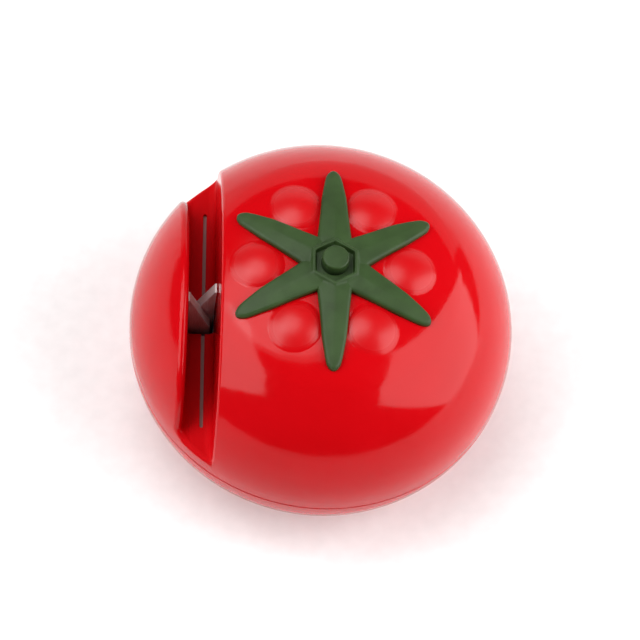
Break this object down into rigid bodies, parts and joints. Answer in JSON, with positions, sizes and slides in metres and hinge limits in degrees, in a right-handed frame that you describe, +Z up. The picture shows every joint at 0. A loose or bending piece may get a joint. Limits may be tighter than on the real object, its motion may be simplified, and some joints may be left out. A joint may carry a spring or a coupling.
{
  "type": "tomato-shaped knife sharpener",
  "caption": "Small tomato-shaped pull-through knife sharpener: glossy red body with an open slot, crossed grinding plates in it, and a green calyx with a stem.",
  "frame": {"origin": "centre of the footprint, on the surface that the sharpener stands on", "axes": "+Z up towards the stem; +Y along the sharpening slot, away from the viewer; +X to the right, with the slot on the -X side"},
  "size_m": [0.062, 0.062, 0.0435],
  "materials": {
    "red_gloss_plastic": "polished injection-moulded ABS",
    "green_satin_plastic": "satin moulded plastic",
    "ground_carbide": "fine ground tungsten carbide",
    "dark_plastic": "plain moulded nylon",
    "zinc_plated_steel": "bright zinc plating",
    "black_rubber": "plain"
  },
  "bodies": {
    "root": {"upper_shell": "red_gloss_plastic", "lower_shell": "red_gloss_plastic", "rubber_ring": "black_rubber", "blade_seat": "dark_plastic", "carbide_plate_rear": "ground_carbide", "carbide_plate_front": "ground_carbide", "plate_pin": "zinc_plated_steel", "seat_screw_front": "zinc_plated_steel", "seat_screw_rear": "zinc_plated_steel", "shell_screw_1": "zinc_plated_steel", "shell_screw_2": "zinc_plated_steel", "shell_screw_3": "zinc_plated_steel", "calyx": "green_satin_plastic", "calyx_washer": "zinc_plated_steel", "calyx_screw": "zinc_plated_steel"}
  },
  "joints": []
}
